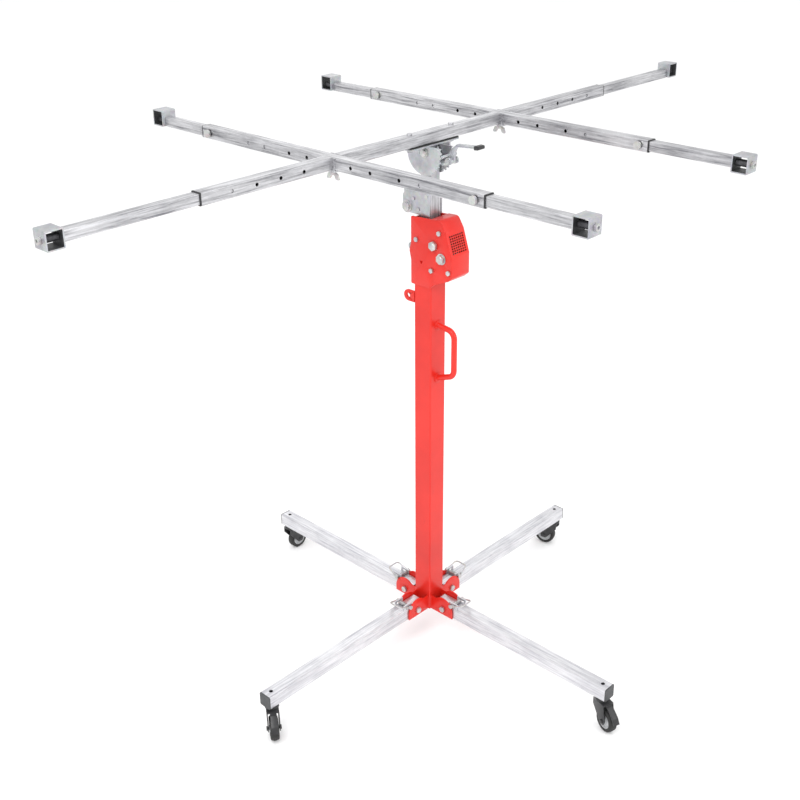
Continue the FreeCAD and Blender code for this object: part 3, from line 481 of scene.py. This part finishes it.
# ---------------------------------------------------------------- added details
def weld_bead(name, points, radius, seed):
    """Painted weld bead on the stand: overlapping ripples along a line of points."""
    step, ripple, unevenness = 0.0016, 0.16, 0.07
    chance = random.Random(seed)
    fine = []
    for start, finish in zip(points, points[1:]):
        start, finish = Vector(start), Vector(finish)
        steps = max(2, int((finish - start).length / step))
        fine += [start.lerp(finish, k / steps) for k in range(steps)]
    fine.append(Vector(points[-1]))
    wobble = [1 + ripple * math.sin(k * 1.9) + chance.uniform(-unevenness, unevenness)
              for k in range(len(fine))]
    data = bmesh.new()
    rod(data, fine, lambda k: radius * wobble[k], 10)
    publish(name, data, "red", "stand", 60)


def mast_welds():
    """Beads where the leg ears, the handle and the lug meet the mast."""
    face = MAST_HALF + PROUD
    ear_side, ear_bottom, ear_top = 0.0247, 0.099, 0.139
    for leg, angle in LEGS.items():
        for side in (-1, 1):
            line = [turn_z(angle, (face, side * ear_side, z)) for z in (ear_bottom, ear_top)]
            weld_bead("%s_ear_weld_%s" % (leg, "a" if side < 0 else "b"), line, 0.0015, angle + side)
    ring_radius, ring_steps = 0.0132, 24
    for name, z in (("low", 0.855), ("high", 1.012)):
        ring = [(ring_radius * math.cos(a), -face, z + ring_radius * math.sin(a))
                for a in (2 * math.pi * k / ring_steps for k in range(ring_steps + 1))]
        weld_bead("handle_weld_" + name, ring, 0.0014, int(z * 100))
    low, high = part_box("mast_lug")
    inset = 0.002
    for x in (low.x + 0.0002, high.x - 0.0002):
        line = [(x, face, low.z + inset), (x, face, high.z - inset)]
        weld_bead("lug_weld_%d" % round(x * 1000 + 100), line, 0.0013, 7)


def latch_springs():
    """Coil springs round each latch bar, between the leg's lugs."""
    collar, half_gap = 0.006, 0.0015
    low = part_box("rear_right_latch")[0]
    along, rise = low.x + collar, low.z + collar
    for leg, angle in LEGS.items():
        for side in (-1, 1):
            base = turn_z(angle, (along, side * half_gap, rise))
            way = turn_z(angle, (0, side, 0))
            data = bmesh.new()
            rod(data, helix(base, way, 0.0050, 0.0022, 6, per_turn=20), 0.0008, 8)
            name = "%s_latch_spring_%s" % (leg, "a" if side < 0 else "b")
            publish(name, data, "zinc", leg + "_latch")


def bolt_washers():
    """Flat washers under the large bolts of the winch, the fold joint and the tilt joint."""
    thick, edge, bulge = 0.0012, 0.0004, 0.0002
    for joint, body, face, bore, radius in (("drum_spin", "stand", 0.0340, 0.0082, 0.0150),
                                            ("head_fold", "inner_stage", 0.0240, 0.0082, 0.0165),
                                            ("cradle_tilt", "head", 0.0243, 0.0061, 0.0118)):
        _, y, z = JOINTS[joint]["pos_m"]
        profile = [(bore, 0), (radius, 0), (radius + bulge, edge), (radius, thick), (bore, thick), (bore, 0)]
        for side in (-1, 1):
            data = bmesh.new()
            lathe(data, profile, (side * face, y, z), (side, 0, 0), 56)
            name = "%s_washer_%s" % (joint, "left" if side < 0 else "right")
            publish(name, data, "zinc", body)


def winch_caps():
    """Domed round caps on the two shafts' ends, as seen on the winch's side."""
    shaft_end = -0.0422
    dome = [(0, 0.0022), (0.004, 0.0021), (0.0078, 0.0014), (0.0092, 0), (0, 0)]
    for joint, body in (("drum_spin", "stand"), ("crank_spin", "crank")):
        _, y, z = JOINTS[joint]["pos_m"]
        data = bmesh.new()
        lathe(data, dome, (shaft_end, y, z), (-1, 0, 0), 40)
        publish(joint + "_cap", data, "zinc", body)


def guard_screen_and_shade_sheet():
    """Dark woven screen behind the guard's slots, on a black sheet that is painted shade for the dark inside
    of the winch.
    """
    half, pitch, wire = 0.0285, 0.0024, 0.0005
    behind_guard, shade_sheet_front, shade_sheet_rear = 0.0020, 0.0005, 0.0011
    # upper and lower edge of the slotted area, on the guard's sloping face
    top, bottom = Vector((0, -0.0862, 1.2832)), Vector((0, -0.1015, 1.2358))
    down = (bottom - top).normalized()
    inward = Vector((0, -down.z, down.y))
    top, bottom = top + inward * behind_guard, bottom + inward * behind_guard
    rows, columns = int((bottom - top).length / pitch), int(2 * half / pitch)
    data = bmesh.new()
    for k in range(rows + 1):
        place = top + down * pitch * k
        rod(data, [place - Vector((half, 0, 0)), place + Vector((half, 0, 0))], wire, 6)
    for k in range(columns + 1):
        across = Vector((pitch * k - half, 0, 0))
        rod(data, [top + across, bottom + across], wire, 6)
    # black sheet behind the wires: painted shade for the winch's dark inside, seen through the slots
    outline = ((-1, 0), (1, 0), (1, rows * pitch), (-1, rows * pitch))
    corners = [data.verts.new(top + inward * depth + Vector((side * half, 0, 0)) + down * reach)
               for depth in (shade_sheet_front, shade_sheet_rear) for side, reach in outline]
    data.faces.new(corners[3::-1])
    data.faces.new(corners[4:])
    for k in range(4):
        data.faces.new((corners[k], corners[(k + 1) % 4], corners[(k + 1) % 4 + 4], corners[k + 4]))
    publish("guard_screen_and_shade_sheet", data, "black_paint", "stand")


# ---------------------------------------------------------------- studio
def paper_floor():
    """Pale seamless floor just under the wheels."""
    half_side, below = 60, 0.0006
    data = bmesh.new()
    bmesh.ops.create_grid(data, x_segments=1, y_segments=1, size=half_side)
    mesh = bpy.data.meshes.new("floor")
    data.to_mesh(mesh)
    data.free()
    floor = bpy.data.objects.new("floor", mesh)
    floor.location.z = -below
    bpy.context.scene.collection.objects.link(floor)
    paper = Finish("floor_paper", (0.92, 0.92, 0.92), roughness=0.9)
    tone = paper.ramp(paper.noise(2, detail=3), [(0.3, (0.95, 0.95, 0.952)), (0.7, (0.97, 0.97, 0.97))])
    paper.colour(tone)
    floor.data.materials.append(paper.material)


def pale_sky():
    """Even white surroundings, slightly brighter overhead."""
    horizon, overhead = 0.92, 1.06
    world = bpy.data.worlds.new("studio")
    bpy.context.scene.world = world
    world.use_nodes = True
    tree = world.node_tree
    background = tree.nodes["Background"]
    background.inputs["Strength"].default_value = 1.0
    direction = tree.nodes.new("ShaderNodeTexCoord")
    height = tree.nodes.new("ShaderNodeSeparateXYZ")
    tree.links.new(direction.outputs["Generated"], height.inputs["Vector"])
    sky = tree.nodes.new("ShaderNodeMapRange")
    for socket, value in (("From Min", 0.0), ("From Max", 0.5), ("To Min", horizon), ("To Max", overhead)):
        sky.inputs[socket].default_value = value
    tree.links.new(height.outputs["Z"], sky.inputs["Value"])
    tree.links.new(sky.outputs["Result"], background.inputs["Color"])


def lamps():
    """Three soft square lamps aimed at the middle of the lift: name, place, side and power in watts."""
    aim = Vector((0, 0, 0.9))
    for name, place, size, power in (("key", (-3.2, -0.8, 4.2), 2.6, 100),
                                     ("fill", (0.6, -3.8, 2.6), 2.4, 45),
                                     ("back", (2.6, 3.0, 3.4), 2.2, 8)):
        lamp = bpy.data.lights.new(name, "AREA")
        lamp.size = size
        lamp.energy = power
        light = bpy.data.objects.new(name, lamp)
        light.location = place
        light.rotation_mode = "QUATERNION"
        light.rotation_quaternion = (aim - light.location).to_track_quat("-Z", "Y")
        bpy.context.scene.collection.objects.link(light)


def camera():
    """Viewpoint above the cradle, between the two near legs, with a plain tone curve."""
    bpy.context.scene.view_settings.view_transform = "Standard"
    place = (-2.1884, -1.9715, 2.2311)
    yaw, pitch, roll = (math.radians(degrees) for degrees in (44.097, 25.340, -0.692))
    ahead = Vector((math.cos(yaw) * math.cos(pitch), math.sin(yaw) * math.cos(pitch), -math.sin(pitch)))
    right = Vector((math.sin(yaw), -math.cos(yaw), 0))
    up = right.cross(ahead)
    right, up = right * math.cos(roll) + up * math.sin(roll), -right * math.sin(roll) + up * math.cos(roll)
    lens = bpy.data.cameras.new("camera")
    lens.sensor_width = 36
    lens.lens = 52.76
    lens.shift_x, lens.shift_y = 0.011, -0.0239
    eye = bpy.data.objects.new("camera", lens)
    eye.matrix_world = Matrix((right, up, -ahead)).transposed().to_4x4()
    eye.location = place
    bpy.context.scene.collection.objects.link(eye)
    bpy.context.scene.camera = eye


dress_cad()
dress_details()
for leg_name in LEGS:
    caster_wheel(leg_name)
hoist_rope()
crank_grip()
mast_welds()
latch_springs()
bolt_washers()
winch_caps()
guard_screen_and_shade_sheet()
paper_floor()
pale_sky()
lamps()
camera()
